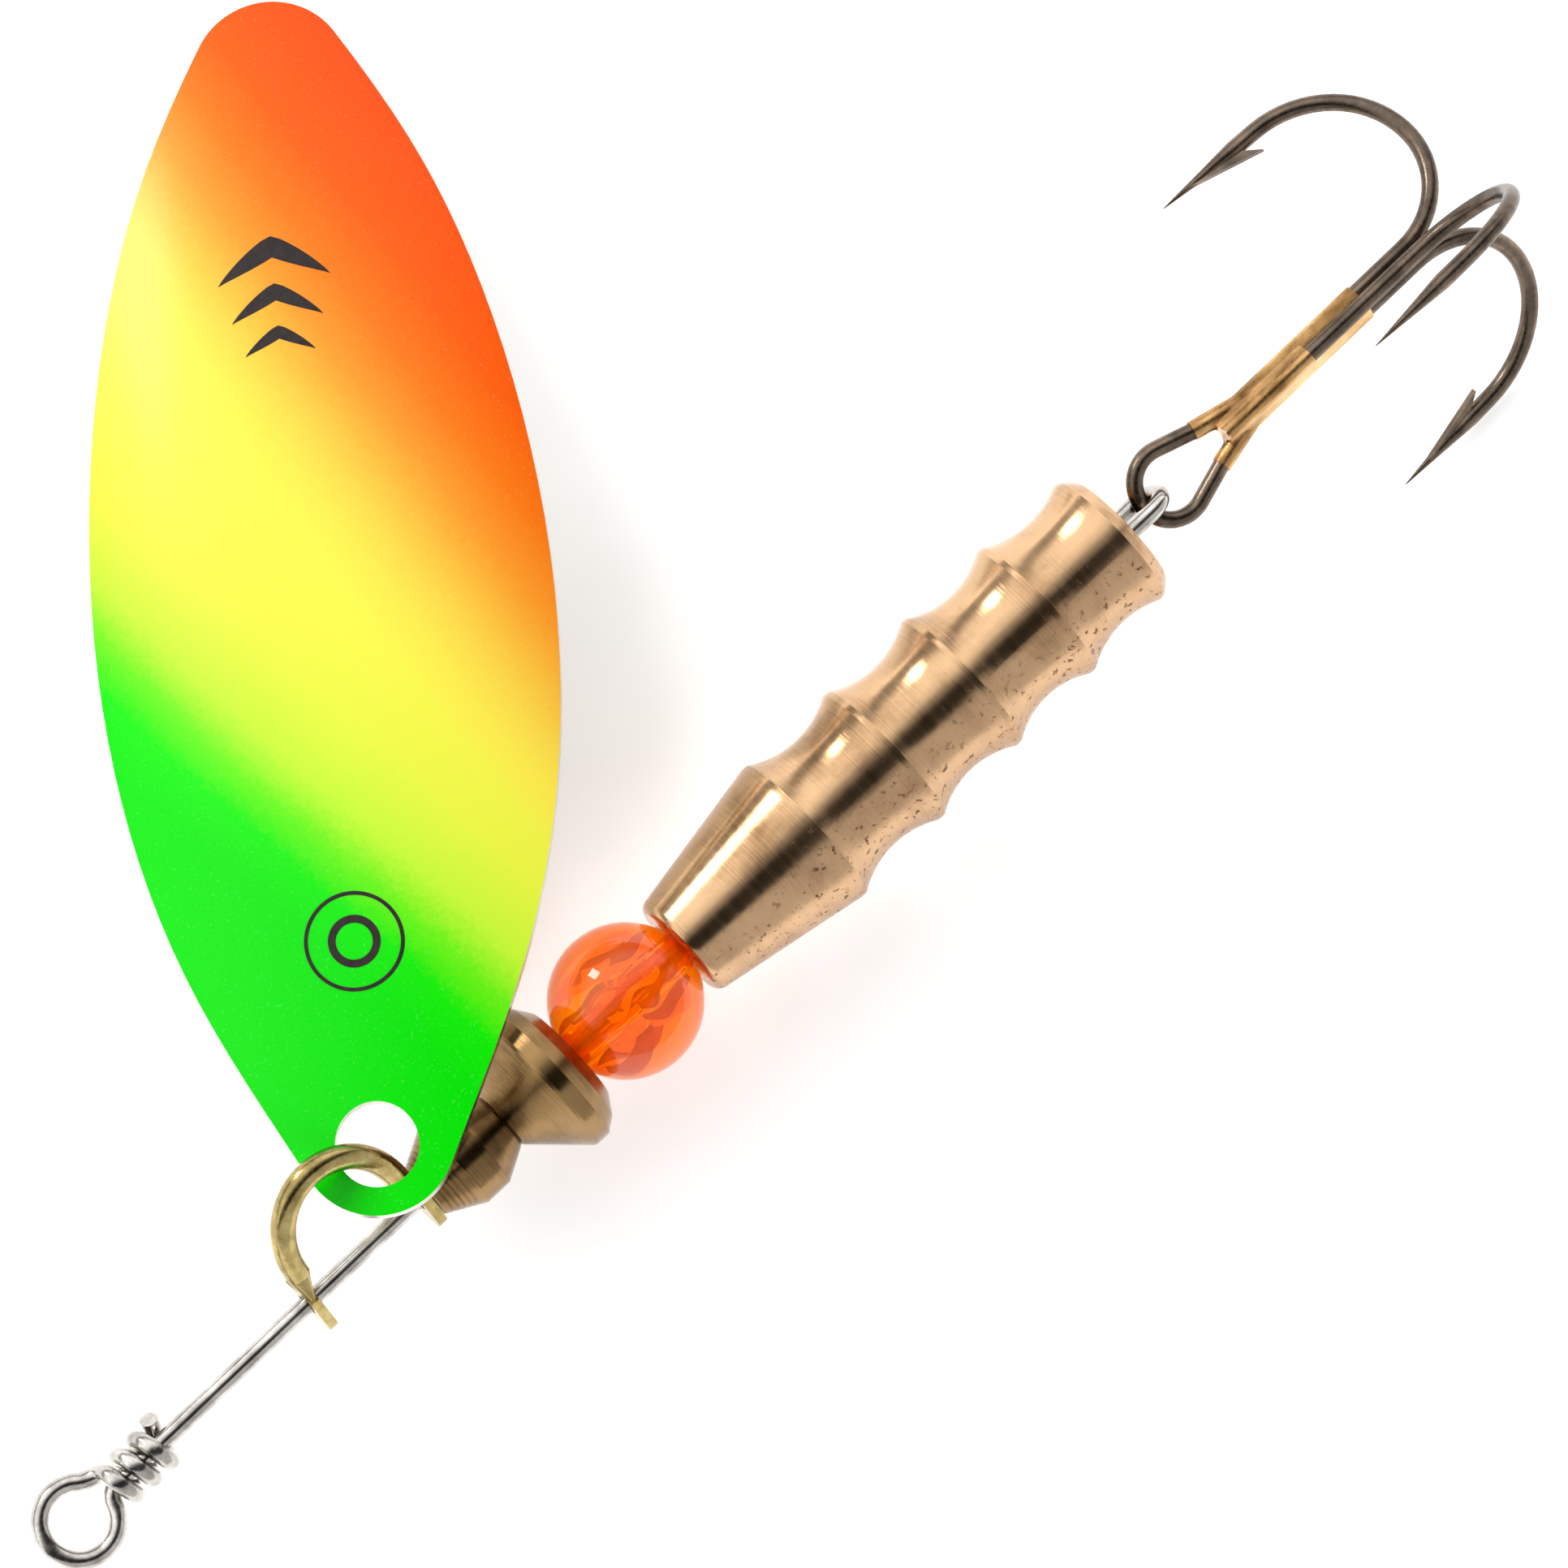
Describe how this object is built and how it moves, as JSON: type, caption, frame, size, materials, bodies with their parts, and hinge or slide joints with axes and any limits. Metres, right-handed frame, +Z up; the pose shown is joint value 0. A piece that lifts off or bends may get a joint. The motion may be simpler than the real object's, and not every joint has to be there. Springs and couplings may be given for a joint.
{
  "type": "inline spinner lure",
  "caption": "Fishing spinner: long painted leaf blade on a clevis, turned brass bearings, orange bead and ribbed weight on a steel wire, with a treble hook.",
  "frame": {"origin": "centre of the line eye, in the middle of its wire", "axes": "+X along the shaft towards the hook, +Y the side the blade stands out to, +Z up from the table it lies on"},
  "size_m": [0.0759, 0.0444, 0.014],
  "materials": {
    "steel_wire": "bright drawn stainless wire",
    "clevis_brass": "pale, lightly plated",
    "blade_paint": "glossy fluorescent fade from green through yellow to red",
    "turned_brass": "turned, fine rings",
    "weight_brass": "turned, slightly tarnished",
    "bead_plastic": "clear fluorescent orange",
    "hook_wire": "dark bronze plating",
    "braze_brass": "rough run of hard solder"
  },
  "bodies": {
    "shaft": {"shaft_wire": "steel_wire"},
    "weight": {"weight_body": "weight_brass"},
    "ball": {"bead": "bead_plastic"},
    "rear_cone": {"rear_bearing": "turned_brass"},
    "front_cone": {"front_bearing": "turned_brass"},
    "clevis_body": {"clevis": "clevis_brass"},
    "blade_body": {"blade": "blade_paint"},
    "hook": {"double_hook": "hook_wire", "single_hook": "hook_wire", "hook_braze": "braze_brass"}
  },
  "joints": [
    {"name": "weight_spin", "type": "hinge", "parent": "shaft", "child": "weight", "pos_m": [0.0429, 0, 0], "axis": [1, 0, 0], "continuous": true},
    {"name": "bead_slide", "type": "slide", "parent": "shaft", "child": "ball", "axis": [-1, 0, 0], "range_m": [0, 0.0068]},
    {"name": "rear_cone_spin", "type": "hinge", "parent": "ball", "child": "rear_cone", "pos_m": [0.0237, 0, 0], "axis": [1, 0, 0], "continuous": true},
    {"name": "front_cone_spin", "type": "hinge", "parent": "rear_cone", "child": "front_cone", "pos_m": [0.0199, 0, 0], "axis": [1, 0, 0], "continuous": true},
    {"name": "clevis_spin", "type": "hinge", "parent": "front_cone", "child": "clevis_body", "pos_m": [0.0149, 0, 0], "axis": [1, 0, 0], "continuous": true},
    {"name": "blade_swing", "type": "hinge", "parent": "clevis_body", "child": "blade_body", "pos_m": [0.01702, 0.00247, 0.00265], "axis": [-0.1136, 0.1033, 0.9881], "range_deg": [0, 60]},
    {"name": "hook_swing", "type": "hinge", "parent": "shaft", "child": "hook", "pos_m": [0.05666, 0, 0], "axis": [0.0343, -0.1857, 0.982], "range_deg": [-90, 90]}
  ]
}
